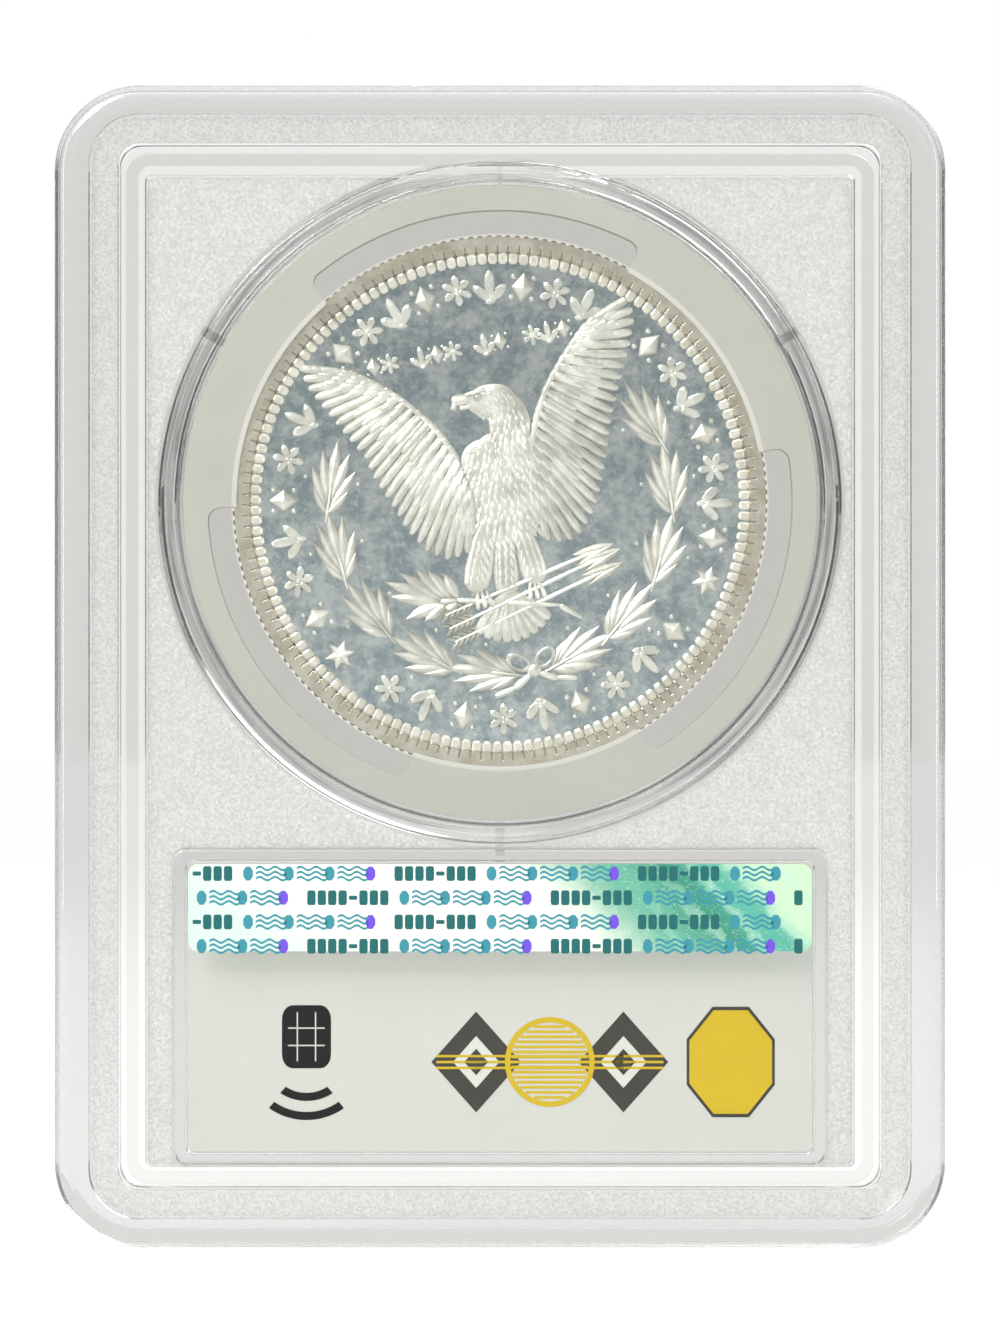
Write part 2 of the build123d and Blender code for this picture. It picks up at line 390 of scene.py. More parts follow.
def air_gap():
    material, f = new_material("air_lens")
    ripple = f.noise(1.6, detail=2)
    bend = f.add("ShaderNodeBsdfGlass", None, {"Color": (0.96, 0.965, 0.96, 1), "Roughness": 0.02,
                                               "IOR": 1 / polystyrene_ior,
                                               "Normal": f.bump(ripple, 0.05)})
    clear = f.transparent(1, 1, 1)
    from_lamp = f.add("ShaderNodeLightPath", out=1)
    f.output(f.blend(from_lamp, bend, clear))
    return material


air_lens.data.materials.append(air_gap())
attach(air_lens, "case")

# The coin's ring. One soft, milky thermoplastic moulding: three lands grip the coin's edge and three
# relieved gaps between them leave room for a thumb when the coin is pressed in.
def soft_ring():
    material, f = new_material("milky_soft_ring")
    cloud = f.noise(6.0, detail=3)
    grain = f.noise(0.2, detail=2)
    tint = f.mix(cloud, (0.51, 0.50, 0.465), (0.59, 0.575, 0.54))
    f.output(f.principled({"Base Color": tint, "Roughness": 0.42 + grain * 0.12, "IOR": 1.5,
                           "Normal": f.bump(grain, 0.01)}))
    return material


coat_node("coin_insert", soft_ring())

# The coin blank. Struck silver with deep mirror fields: their grey-blue colour is partly mottled toning
# and partly a painted reflection of the dark room in front of the mirror. The rim is bright, and the
# reeded edge has turned tan.
coin_turn = math.radians(11.5)
coin_rim_width = 1.25
bead_count = 148
notch_end_radius = 18.34


def struck_silver():
    material, f = new_material("struck_silver")
    x, _, z = f.place()
    over_z, from_coin = about_coin(x, z)
    face_edge = coin_radius - coin_rim_width
    on_face = from_coin.rise(face_edge, face_edge - 0.1)
    on_edge = from_coin.rise(coin_radius - 0.14, coin_radius - 0.05)
    mottle = f.noise(1.5, detail=7, roughness=0.68)
    flecks = f.noise(0.35, detail=4, roughness=0.7)
    hairlines = f.noise(1.0, detail=3, stretch=(1, 1, 0.12)).rise(0.62, 0.70)
    # Grey-blue fields: partly mottled toning, partly painted reflection of the dark room the mirror
    # faces.
    field = f.mix(mottle.rise(0.36, 0.66), (0.43, 0.51, 0.555), (0.78, 0.84, 0.85))
    field = f.mix(flecks.rise(0.56, 0.70) * 0.6, field, (0.93, 0.90, 0.82))
    rim = f.mix(mottle.rise(0.30, 0.70), (0.56, 0.51, 0.42), (0.79, 0.75, 0.66))
    edge = f.mix(flecks, (0.30, 0.21, 0.13), (0.62, 0.50, 0.36))
    round_coin = over_z.sum("ARCTAN2", over_z, x) - coin_turn
    notch = round_coin.sum("COSINE", round_coin * bead_count).rise(-0.72, -0.9)
    notch = notch * from_coin.rise(notch_end_radius + 0.08, notch_end_radius)
    notch = notch * from_coin.rise(face_edge - 0.1, face_edge)
    rim = f.mix(notch, rim, (0.42, 0.38, 0.31))
    colour = f.mix(on_edge, f.mix(on_face, rim, field), edge)
    roughness = 0.24 + flecks * 0.10 - on_face * 0.10 + on_edge * 0.12
    normal = f.bump(flecks * 0.6 + hairlines * 0.4 - notch * 5, 0.004)
    f.output(f.principled({"Base Color": colour, "Metallic": 1.0, "Roughness": roughness,
                           "Normal": normal}))
    return material


coat_node("coin", struck_silver())

# The label. Two plies of light grey card lie back to back, each printed on its outer face.
def label_card():
    material, f = new_material("label_card")
    fibre = f.noise(0.12, detail=3, stretch=(0.4, 1, 1))
    cloud = f.noise(7.0, detail=2)
    tint = f.mix(cloud * 0.6 + fibre * 0.4, (0.55, 0.545, 0.515), (0.61, 0.60, 0.57))
    f.output(f.principled({"Base Color": tint, "Roughness": 0.7, "Normal": f.bump(fibre, 0.01)}))
    return material


card_material = label_card()
for card in ("rear_label_card", "front_label_card"):
    coat_node(card, card_material)

# The struck design on both faces: raised, lightly frosted silver from the same blank. It is bright and
# cream-white on top and turns darker grey-tan where it meets the field, partly toning in the hollows and
# partly painted shade.
coin_field_depth = 0.3
bead_inner, bead_outer = 17.02, 17.84


def coin_face(sideways, turn):
    """The frame of one coin face: millimetres, with its origin on the field at the coin's middle."""
    level = (coin_high.y - coin_middle.y) / MM - coin_field_depth
    return (Matrix.Translation(coin_middle) @ Matrix.Rotation(sideways, 4, "Z")
            @ Matrix.Rotation(math.radians(90), 4, "X") @ Matrix.Rotation(turn, 4, "Z")
            @ Matrix.Scale(MM, 4) @ Matrix.Translation((0, 0, level)))


reverse = coin_face(0, coin_turn)
obverse = coin_face(math.pi, math.pi - coin_turn)


def raised_silver():
    material, f = new_material("raised_silver")
    x, y, z = f.place()
    height = abs(y) - (coin_high.y / MM - coin_field_depth)
    # Darker low down where the design meets the field, brighter on top: partly toning, partly painted
    # shade.
    lift = height.rise(-0.02, 0.08) * 0.75 + height.rise(0.08, 0.26) * 0.25
    mottle = f.noise(1.4, detail=4, roughness=0.6)
    frost = f.noise(0.26, detail=4, roughness=0.7)
    border = about_coin(x, z)[1].rise(bead_inner - 0.2, bead_inner)
    low = f.mix(mottle, (0.24, 0.23, 0.20), (0.48, 0.47, 0.41))
    high = f.mix(mottle.rise(0.3, 0.7), (0.66, 0.65, 0.60), (0.92, 0.91, 0.85))
    high = f.mix(border, high, f.mix(mottle.rise(0.3, 0.7), (0.72, 0.68, 0.58), (0.95, 0.91, 0.82)))
    f.output(f.principled({"Base Color": f.mix(lift, low, high), "Metallic": 0.84,
                           "Roughness": 0.30 + frost * 0.12 - lift * 0.06,
                           "Normal": f.bump(frost, 0.028)}))
    return material


relief_silver = raised_silver()


def select_corners(thing, wanted):
    """In edit mode, selects the corners of a piece whose place passes a test."""
    bpy.ops.object.mode_set(mode="EDIT")
    bpy.ops.mesh.select_mode(type="VERT")
    bpy.ops.mesh.select_all(action="DESELECT")
    bpy.ops.object.mode_set(mode="OBJECT")
    for corner in thing.data.vertices:
        corner.select = wanted(corner.co)
    bpy.ops.object.mode_set(mode="EDIT")


def close_edit():
    """Turns all the faces of the open piece outwards and closes it."""
    bpy.ops.mesh.select_all(action="SELECT")
    bpy.ops.mesh.normals_make_consistent(inside=False)
    bpy.ops.object.mode_set(mode="OBJECT")


def sliver(stations, sides):
    """A punch for leaves and feathers, along x: one long, one wide, one high and flat underneath.

    It is a small ring drawn out from station to station, and each station is (place, width)."""
    punch = new_object(bpy.ops.mesh.primitive_circle_add, vertices=sides, radius=1,
                       fill_type="NGON", rotation=(0, math.radians(90), 0))
    bpy.ops.object.transform_apply(location=True, rotation=True, scale=True)
    start, width = stations[0]
    open_edit()
    bpy.ops.transform.translate(value=(start, 0, 0))
    bpy.ops.transform.resize(value=(1, width / 2, width))
    for next_start, next_width in stations[1:]:
        bpy.ops.mesh.extrude_region_move(
            TRANSFORM_OT_translate={"value": (next_start - start, 0, 0)})
        bpy.ops.transform.resize(value=(1, next_width / width, next_width / width))
        start, width = next_start, next_width
    select_corners(punch, lambda corner: corner.z < -0.001)
    bpy.ops.transform.resize(value=(1, 1, 0.2), center_override=(0, 0, 0))
    close_edit()
    return punch


def laid(start, end, width, height, level=0.0):
    """Where a punch lies to run from start to end on a coin face, in millimetres."""
    run = Vector(end) - Vector(start)
    return (Matrix.Translation((start[0], start[1], level))
            @ Matrix.Rotation(math.atan2(run.y, run.x), 4, "Z")
            @ Matrix.Diagonal((run.length, width, height, 1)))


def set_at(place, size, height, turn=0.0, level=0.0):
    """Where a punch that is centred on its origin stands on a coin face."""
    return (Matrix.Translation((place[0], place[1], level)) @ Matrix.Rotation(turn, 4, "Z")
            @ Matrix.Diagonal((size[0], size[1], height, 1)))


def round_place(radius, degrees):
    angle = math.radians(degrees)
    return Vector((radius * math.cos(angle), radius * math.sin(angle)))


def joined(name, lots, base):
    """Copies each punch to its places and joins the copies, with their places in the mesh itself."""
    copies = []
    for punch, places in lots:
        for place in places:
            copy = punch.copy()
            copy.data = punch.data.copy()
            copy.data.transform(base @ place)
            bpy.context.collection.objects.link(copy)
            copies.append(copy)
    bpy.ops.object.select_all(action="DESELECT")
    for copy in copies:
        copy.select_set(True)
    bpy.context.view_layer.objects.active = copies[0]
    if len(copies) > 1:
        bpy.ops.object.join()
    piece = bpy.context.object
    piece.name = piece.data.name = name
    return piece


def strike(name, face, lots, crease=12):
    piece = joined(name, lots, face)
    piece.data.materials.append(relief_silver)
    bpy.ops.object.shade_smooth_by_angle(angle=math.radians(crease))
    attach(piece, "coin")


petal = sliver([(0, 0.3), (0.2, 0.7), (0.5, 1), (0.8, 0.85), (0.95, 0.4), (1, 0.1)], sides=8)
petal_top = 0.45
select_corners(petal, lambda corner: corner.z > petal_top)
bpy.ops.transform.resize(value=(1, 1, 0), center_override=(0, 0, petal_top))
bpy.ops.object.mode_set(mode="OBJECT")
leaf = sliver([(0, 0.12), (0.18, 0.62), (0.42, 1), (0.7, 0.78), (1, 0.05)], sides=4)
feather = sliver([(0, 0.5), (0.3, 0.85), (0.7, 1), (0.9, 0.9), (0.985, 0.55), (1, 0.2)], sides=8)
berry = new_object(bpy.ops.mesh.primitive_uv_sphere_add, segments=10, ring_count=6, radius=1)
dome = new_object(bpy.ops.mesh.primitive_uv_sphere_add, segments=36, ring_count=18, radius=1)

# The bead border inside the rim: one squarish bead with softened edges, repeated round each face.
bead_width, bead_height = 0.63, 0.44
bead = new_object(bpy.ops.mesh.primitive_cube_add, size=1)
open_edit()
bpy.ops.mesh.bevel(offset=0.22, segments=1, affect="EDGES")
bpy.ops.object.mode_set(mode="OBJECT")
bead_places = []
for count in range(bead_count):
    turn = count * 360 / bead_count
    bead_places.append(set_at(round_place((bead_inner + bead_outer) / 2, turn),
                              (bead_outer - bead_inner, bead_width), bead_height,
                              math.radians(turn)))
for face_name, face in (("reverse", reverse), ("obverse", obverse)):
    strike(f"coin_{face_name}_beads", face, [(bead, bead_places)])

# The ornaments between the beads and the wreath: two six-pointed faceted stars, and a ring of
# lozenges, rosettes and three-leaved sprays, spaced as an inscription would be.
star_points = 6
star = new_object(bpy.ops.mesh.primitive_cone_add, vertices=2 * star_points, radius1=1, depth=1,
                  location=(0, 0, 0.5))
bpy.ops.object.transform_apply(location=True)
select_corners(star, lambda corner: corner.z < 0.5 and
               math.cos(star_points * math.atan2(corner.y, corner.x)) > 0)
bpy.ops.transform.resize(value=(0.5, 0.5, 1), center_override=(0, 0, 0))
bpy.ops.object.mode_set(mode="OBJECT")
hoop = new_object(bpy.ops.mesh.primitive_torus_add, major_segments=24, minor_segments=6,
                  major_radius=0.8, minor_radius=0.2)
lozenge = new_object(bpy.ops.mesh.primitive_cone_add, vertices=4, radius1=1, depth=1,
                     location=(0, 0, 0.5))
bpy.ops.object.transform_apply(location=True)


def ornaments(name, face, places):
    """Lozenges with pellets, six-petalled rosettes and three-leaved sprays, in turn along a line.

    Each place is (middle, upright direction in degrees, height)."""
    lozenges, pellets, petals = [], [], []
    for number, (middle, up, tall) in enumerate(places):
        upright, across = round_place(1, up), round_place(1, up - 90)
        if number % 3 == 0:
            lozenges.append(set_at(middle, (tall * 0.38, tall * 0.52), 0.2, math.radians(up - 90)))
            pellets += [set_at(middle + across * side * tall * 0.36 + upright * lift * tall * 0.36,
                               (tall * 0.1, tall * 0.1), 0.2) for side in (-1, 1) for lift in (-1, 1)]
        elif number % 3 == 1:
            petals += [laid(middle, middle + round_place(tall * 0.55, up + sixth * 60),
                            tall * 0.3, 0.4) for sixth in range(6)]
            pellets.append(set_at(middle, (tall * 0.13, tall * 0.13), 0.27))
        else:
            foot = middle - upright * tall * 0.5
            petals += [laid(foot, foot + round_place(tall * reach, up + turn), tall * 0.38, 0.4)
                       for turn, reach in ((-46, 0.8), (0, 1.1), (46, 0.8))]
            pellets.append(set_at(foot, (tall * 0.2, tall * 0.12), 0.25))
    strike(name, face, [(lozenge, lozenges), (berry, pellets), (petal, petals)])


def arc_places(groups, radius, tall):
    """Ornament places on arcs: each group is (first angle, last angle, count)."""
    places = []
    for first, last, count in groups:
        for step in range(count):
            degrees = first + (last - first) * step / (count - 1)
            places.append((round_place(radius, degrees), degrees, tall))
    return places


star_orbit, star_size, star_lean = 15.75, 1.12, 57.8
star_places = [set_at(round_place(star_orbit, degrees), (star_size, star_size), 0.27,
                      math.radians(degrees)) for degrees in (-90 - star_lean, -90 + star_lean)]
strike("coin_reverse_stars", reverse, [(star, star_places)])
border_orbit, border_height = 15.4, 2.05
ornaments("coin_reverse_border_ornaments", reverse,
          arc_places([(201, 146, 6), (125, 55, 9), (35, -21, 7), (-132, -48, 9)],
                     border_orbit, border_height))
row_start, row_up, row_step, row_height = -6.9, 11.25, 1.15, 1.35
row_gaps = (2, 6, 9)
row = [(Vector((row_start + row_step * step, row_up)), 90, row_height)
       for step in range(13) if step not in row_gaps]
ornaments("coin_reverse_upper_ornaments", reverse, row)

# The wreath: ten laurel sprigs in two rising branches, tied at the bottom with a ribbon bow.
sprig_leaves = [((0.9, 0), (5.0, 0), 0.72),
                ((0.5, 0.1), (4.2, 0.95), 0.7), ((0.5, -0.1), (4.2, -0.95), 0.7),
                ((0.1, 0.1), (3.0, 1.55), 0.66), ((0.1, -0.1), (3.0, -1.55), 0.66),
                ((-0.3, 0.0), (1.5, 1.25), 0.58), ((-0.3, 0.0), (1.5, -1.25), 0.58)]


def sprigs(starts, radius, size):
    """Places for the leaves, stems and berries of sprigs that start at angles from the bottom."""
    leaves, stems, berries = [], [], []
    for start in starts:
        forward = 1 if start > 0 else -1
        at = Matrix.Translation(round_place(radius, start - 90).to_3d())
        lean = math.radians(start - 90 + forward * (90 + 11 * size))
        frame_here = at @ Matrix.Rotation(lean, 4, "Z") @ Matrix.Diagonal((size, size, 1, 1))
        for number, (root_at, tip, width) in enumerate(sprig_leaves):
            leaves.append(frame_here @ laid(root_at, tip, width * 1.2, 0.15 - 0.008 * number))
        stems.append(frame_here @ laid((-0.9, 0), (1.6, 0), 0.26, 0.16))
        berries += [frame_here @ set_at((2.15, side * 1.9), (0.17, 0.17), 0.18) for side in (-1, 1)]
    return [(leaf, leaves), (feather, stems), (berry, berries)]


def both_sides(starts):
    return [side * start for start in starts for side in (-1, 1)]


wreath_radius = 12.3
strike("coin_reverse_wreath", reverse, sprigs(both_sides((7, 28, 52, 76, 99)), wreath_radius, 1.0))
bow_lots = [(hoop, [set_at((-0.95, -11.45), (1.0, 0.62), 0.9, math.radians(-35)),
                    set_at((0.95, -11.45), (1.0, 0.62), 0.9, math.radians(35))]),
            (dome, [set_at((0, -12.2), (0.55, 0.5), 0.27)]),
            (feather, [laid((0.1, -12.3), (1.6, -13.1), 0.6, 0.2),
                       laid((1.4, -13.0), (2.9, -13.3), 0.5, 0.16),
                       laid((-0.1, -12.3), (-1.6, -13.2), 0.6, 0.2),
                       laid((-1.4, -13.1), (-3.1, -13.5), 0.5, 0.16)])]
strike("coin_reverse_bow", reverse, bow_lots)

# The eagle. Each wing is five overlapping rows of feathers from the arm to the trailing edge, with a
# ridge of small feathers along the leading edge.
def along(points, share):
    """The point a share of the way along a line of points."""
    runs = [(Vector(b) - Vector(a)).length for a, b in zip(points, points[1:])]
    left = share * sum(runs)
    for (a, b), run in zip(zip(points, points[1:]), runs):
        if left <= run:
            break
        left -= run
    return Vector(a).lerp(Vector(b), min(1.0, left / run))


def wing(name, arm, edge):
    """Rows of feathers from the arm to the edge: (count, reach, width, height, level) for each row."""
    rows = [(25, 1.0, 0.68, 0.12, 0.0), (22, 0.70, 0.62, 0.12, 0.03), (20, 0.5, 0.56, 0.12, 0.075),
            (19, 0.33, 0.52, 0.11, 0.12), (18, 0.17, 0.46, 0.10, 0.16)]
    places = []
    for row, (count, reach, width, height, level) in enumerate(rows):
        for number in range(count):
            share = (number + 0.5 * (row % 2) + 0.1) / (count - 0.3)
            root_at, tip = along(arm, share), along(edge, share)
            places.append(laid(root_at, root_at.lerp(tip, reach), width, height,
                               level + 0.004 * (number % 2)))
    leading = arm[::-1][1:] + edge[:1]
    ridge_count = 20
    for number in range(ridge_count):
        start = along(leading, number / ridge_count)
        end = along(leading, min(1.0, (number + 1.8) / ridge_count))
        places.append(laid(start, end, 0.5, 0.1, 0.165 - 0.004 * number))
    strike(name, reverse, [(feather, places)])


wing("coin_eagle_left_wing",
     [(-8.6, 11.2), (-6.5, 9.6), (-4.7, 7.8), (-3.3, 5.8), (-2.3, 3.6), (-1.8, 0.8)],
     [(-12.1, 12.3), (-11.9, 10.9), (-10.8, 8.7), (-9.8, 6.8), (-8.8, 5.0), (-8.4, 3.2), (-7.6, 1.4),
      (-6.9, -0.6), (-5.8, -2.4), (-4.4, -3.3), (-2.5, -3.0)])
wing("coin_eagle_right_wing",
     [(8.7, 11.4), (6.7, 9.5), (5.0, 7.6), (3.8, 5.6), (3.0, 3.4), (2.3, 0.6)],
     [(11.8, 12.5), (12.1, 11.2), (11.2, 8.9), (10.1, 6.7), (8.9, 4.1), (8.2, 2.0), (7.5, 0.2),
      (6.6, -1.7), (5.4, -3.2), (4.2, -3.7), (2.4, -3.2)])

# The eagle's body: a full breast and neck with rows of small feathers, feathered legs, and a short
# fan of tail feathers under the claws.
def dome_height(place, middle, size, rise):
    left = 1 - ((place[0] - middle[0]) / size[0]) ** 2 - ((place[1] - middle[1]) / size[1]) ** 2
    return rise * math.sqrt(max(0.0, left))


def plumage(middle, size, rise, lean, pitch, length):
    """Small feathers in staggered rows over a dome, all pointing the way of lean."""
    places = []
    rows = int(2 * size[1] / pitch)
    for row in range(rows):
        for column in range(-8, 9):
            stagger = 0.3 * math.sin(column * 2.4 + row * 1.3)
            place = (middle[0] + (column + 0.5 * (row % 2)) * pitch * 0.8,
                     middle[1] + size[1] - (row + 0.7 + stagger) * pitch)
            level = dome_height(place, middle, size, rise)
            if level > rise * 0.35:
                ruffle = (row * 7 + column * 5) % 5 - 2
                end = Vector(place) + round_place(length * (1 + 0.08 * ruffle),
                                                  lean + (place[0] - middle[0]) * 8 + 5 * ruffle)
                lift = min(level - 0.02, 0.19) - 0.008 * (ruffle % 2)
                places.append(laid(place, end, pitch * 0.7, 0.08, lift))
    return places


breast, neck, head = ((0.45, 0.7), (2.7, 4.3)), ((1.8, 5.2), (1.5, 2.6)), ((0.8, 7.3), (1.75, 1.15))
shoulders = [((-0.5, 3.0), (1.75, 1.7)), ((1.9, 2.7), (1.6, 1.9))]
body_rise, head_rise = 0.205, 0.215
body_feathers = plumage(*breast, body_rise, -94, 0.56, 0.85)
body_feathers += plumage(*neck, body_rise, -100, 0.5, 0.85)
body_feathers += plumage(*shoulders[0], 0.2, -112, 0.5, 0.75)
body_feathers += plumage(*shoulders[1], 0.2, -82, 0.5, 0.75)
legs = [laid((-1.2, -1.2), (-3.0, -5.9), 2.0, 0.22), laid((1.0, -1.4), (1.5, -6.2), 1.9, 0.22),
        laid((-0.1, -1.6), (-0.8, -6.6), 1.8, 0.17)]
leg_feathers = []
for start, end in (((-1.6, -2.4), (-3.0, -5.6)), ((1.1, -2.4), (1.5, -5.8)),
                   ((-0.2, -2.8), (-0.8, -6.2))):
    for number in range(5):
        for side in (-0.38, 0, 0.38):
            here = Vector(start).lerp(Vector(end), number / 5.5) + Vector((side, 0.1 * abs(side)))
            leg_feathers.append(laid(here, here + Vector((side * 0.4, -0.85)), 0.34, 0.06, 0.19))
strike("coin_eagle_body", reverse,
       [(dome, [set_at(middle, size, body_rise) for middle, size in (breast, neck, *shoulders)]),
        (feather, legs), (leaf, body_feathers + leg_feathers)])
eye = (-0.1, 7.74)
face_lots = [(dome, [set_at(*head, head_rise)]),
             (feather, [laid((-0.3, 7.7), (-1.95, 7.72), 0.95, 0.21),
                        laid((-1.6, 7.85), (-1.98, 7.05), 0.5, 0.2),
                        laid((-0.4, 7.1), (-1.5, 7.16), 0.42, 0.17),
                        laid((-0.9, 8.02), (0.6, 8.12), 0.36, 0.09, 0.16)]),
             (berry, [set_at(eye, (0.17, 0.15), 0.09, level=0.2)]),
             (hoop, [set_at(eye, (0.36, 0.3), 0.3, level=0.2)]),
             (leaf, plumage(head[0], (1.6, 1.05), head_rise, -65, 0.4, 0.62))]
strike("coin_eagle_head", reverse, face_lots)
tail = [laid((-0.75, -6.2), Vector((-0.8, -6.3)) + round_place(3.65, -136 + 11.7 * number), 0.95,
             0.15 + 0.02 * (number % 2)) for number in range(9)]
strike("coin_eagle_tail", reverse, [(feather, tail)])

# The olive branch and the three arrows in the eagle's claws, with the claws closed over them.
stem = [(4.1, -9.2), (2.7, -8.0), (-0.9, -7.1), (-4.4, -6.2), (-5.6, -6.1)]
stem_runs = [laid(a, b, 0.5, 0.24) for a, b in zip(stem, stem[1:])]
olive = [((-4.3, -6.1), (-4.9, -4.2)), ((-4.8, -6.0), (-6.0, -3.7)), ((-5.2, -5.9), (-6.8, -3.5)),
         ((-5.4, -6.0), (-8.0, -3.5)), ((-5.6, -6.0), (-9.2, -3.9)), ((-5.6, -6.1), (-9.1, -5.0)),
         ((-5.5, -6.2), (-8.2, -6.8)), ((-5.1, -6.2), (-6.9, -7.2)), ((-4.4, -6.3), (-5.4, -7.0))]
arrows = [((-5.4, -7.1), (6.2, -4.7)), ((-5.3, -8.1), (6.6, -5.2)), ((-5.1, -9.1), (6.6, -6.2))]
shafts, barbs, heads = [], [], []
for tail_end, point in arrows:
    tail_end, point = Vector(tail_end), Vector(point)
    way = (point - tail_end).normalized()
    across = Vector((-way.y, way.x))
    shafts.append(laid(tail_end, point, 0.34, 0.19))
    heads += [laid(point + way * 1.2, point - way * 1.9 + across * side * 0.42, 0.62, 0.25)
              for side in (-1, 1)]
    for number in range(5):
        here = tail_end + way * (0.25 + 0.45 * number)
        barbs += [laid(here, here - way * 0.75 + across * side * 0.5, 0.3, 0.2) for side in (-1, 1)]
claws = []
for foot in ((-2.5, -6.45), (1.3, -6.5)):
    for spread in (-0.55, 0.0, 0.55):
        start = Vector(foot) + Vector((spread * 0.6, 0.5))
        claws.append(laid(start, Vector(foot) + Vector((spread, -0.75)), 0.4, 0.27))
olive_leaves = [laid(a, b, 0.95, 0.17) for a, b in olive]
strike("coin_eagle_branch_and_arrows", reverse,
       [(feather, stem_runs + shafts + claws), (leaf, olive_leaves + barbs + heads)])

# The other face is out of sight in its window. It has a plain design of its own: a faceted star on a
# sunburst inside a laurel wreath, with thirteen small stars.
ray_count, ray_start, long_ray, short_ray = 32, 1.2, 7.6, 5.8
rays = []
for number in range(ray_count):
    reach = long_ray if number % 2 == 0 else short_ray
    degrees = number * 360 / ray_count
    rays.append(laid(round_place(ray_start, degrees), round_place(reach, degrees), 0.8, 0.17))
strike("coin_obverse_sunburst", obverse, [(feather, rays)])
strike("coin_obverse_star", obverse, [(star, [set_at((0, 0), (3.4, 3.4), 0.28, math.radians(30)),
                                              set_at((0, 0), (2.6, 2.6), 0.26)])])
strike("coin_obverse_wreath", obverse,
       sprigs(both_sides((8, 33, 58, 83, 108, 133, 158)), 11.1, 0.95))
small_stars, small_star_orbit = 13, 15.1
strike("coin_obverse_stars", obverse,
       [(star, [set_at(round_place(small_star_orbit, 90 + number * 360 / small_stars),
                       (0.95, 0.95), 0.25, math.radians(number * 360 / small_stars))
                for number in range(small_stars)])])
for punch in (petal, leaf, feather, berry, dome, bead, star, hoop, lozenge):
    bpy.data.objects.remove(punch)

# The printed mark on the rear card: a black chip badge over two arcs, a dark grey and gold device of
# lozenges and a striped roundel, and a gold octagon. The ink stands a hundredth of a millimetre proud.
ink_rise = 0.012


def print_plane(face_y, middle_z):
    """The frame of a print that is read from the camera's side: millimetres, from the card's middle."""
    return (Matrix.Translation((0, face_y, middle_z)) @ Matrix.Rotation(math.radians(90), 4, "X")
            @ Matrix.Scale(MM, 4))


card_print = print_plane(card_low.y, card_middle.z)


def ink(name, colour, gloss=0.45):
    """Printed ink: almost even, with the fine break-up of a screened print."""
    material, f = new_material(name)
    screen = f.noise(0.09, detail=2)
    cloud = f.noise(3.0, detail=2)
    darker = [channel * 0.82 for channel in colour]
    tint = f.mix(screen * 0.6 + cloud * 0.4, darker, colour)
    f.output(f.principled({"Base Color": tint, "Roughness": gloss + screen * 0.1,
                           "Specular IOR Level": 0.15, "Normal": f.bump(screen, 0.004)}))
    return material


black_ink = ink("black_ink", (0.012, 0.012, 0.012))
grey_ink = ink("dark_grey_ink", (0.062, 0.058, 0.050))
gold_ink = ink("gold_ink", (0.655, 0.455, 0.028))
pale_ink = ink("pale_ink", (0.70, 0.71, 0.66))


def stamp(name, lots, base, material, body):
    piece = joined(name, lots, base)
    piece.data.materials.clear()
    piece.data.materials.append(material)
    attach(piece, body)
    return piece


def draw_up():
    """Draws the open flat outline up to one high, with walls all round."""
    bpy.ops.mesh.select_all(action="SELECT")
    bpy.ops.mesh.extrude_region_move(TRANSFORM_OT_translate={"value": (0, 0, 1)})


def regular(count, half_width, half_height, first=0.0):
    """Corners of a regular outline, the first of them at an angle in degrees."""
    turns = [math.radians(first + 360 / count * number) for number in range(count)]
    return [(math.cos(turn) * half_width, math.sin(turn) * half_height) for turn in turns]


def flat_stamp(corners, soften=0.0):
    """A flat shape one high: its outline is filled, rounded at its corners if asked, and drawn up."""
    shape = new_object(bpy.ops.mesh.primitive_circle_add, vertices=len(corners), radius=1,
                       fill_type="NGON")
    for corner, (across, up) in zip(shape.data.vertices, corners):
        corner.co = (across, up, 0)
    open_edit()
    if soften:
        bpy.ops.mesh.bevel(offset=soften, segments=5, affect="VERTICES")
    draw_up()
    close_edit()
    return shape


def ring_stamp(inner, outer, cuts=()):
    """A flat ring one high, cut through its middle; each cut takes away the side that an angle faces."""
    shape = new_object(bpy.ops.mesh.primitive_circle_add, vertices=64, radius=outer, fill_type="NGON")
    open_edit()
    bpy.ops.mesh.inset(thickness=outer - inner)
    bpy.ops.mesh.delete(type="FACE")
    draw_up()
    for lean in cuts:
        bpy.ops.mesh.select_all(action="SELECT")
        angle = math.radians(lean)
        bpy.ops.mesh.bisect(plane_co=(0, 0, 0), plane_no=(math.cos(angle), math.sin(angle), 0),
                            use_fill=True, clear_outer=True)
    close_edit()
    return shape


def layer(across, up, width, height, level=0):
    """Where a stamp stands on its card; level 1 is printed over level 0."""
    return (Matrix.Translation((across, up, level * ink_rise * 0.7))
            @ Matrix.Diagonal((width, height, ink_rise, 1)))


square = [(-0.5, -0.5), (0.5, -0.5), (0.5, 0.5), (-0.5, 0.5)]
block = flat_stamp(square)
soft_block = flat_stamp(square, soften=0.22)
diamond = flat_stamp([(0, -0.5), (0.5, 0), (0, 0.5), (-0.5, 0)])
octagon = flat_stamp(regular(8, 0.54, 0.54, first=22.5))
roundel = flat_stamp(regular(48, 0.5, 0.5))
near_arc = ring_stamp(2.0, 2.55, cuts=(38, 142))
far_arc = ring_stamp(3.3, 3.85, cuts=(38, 142))
thin_ring = ring_stamp(0.44, 0.5)


def card_mark(name, base, material, *lots):
    stamp(name, lots, base, material, "case")


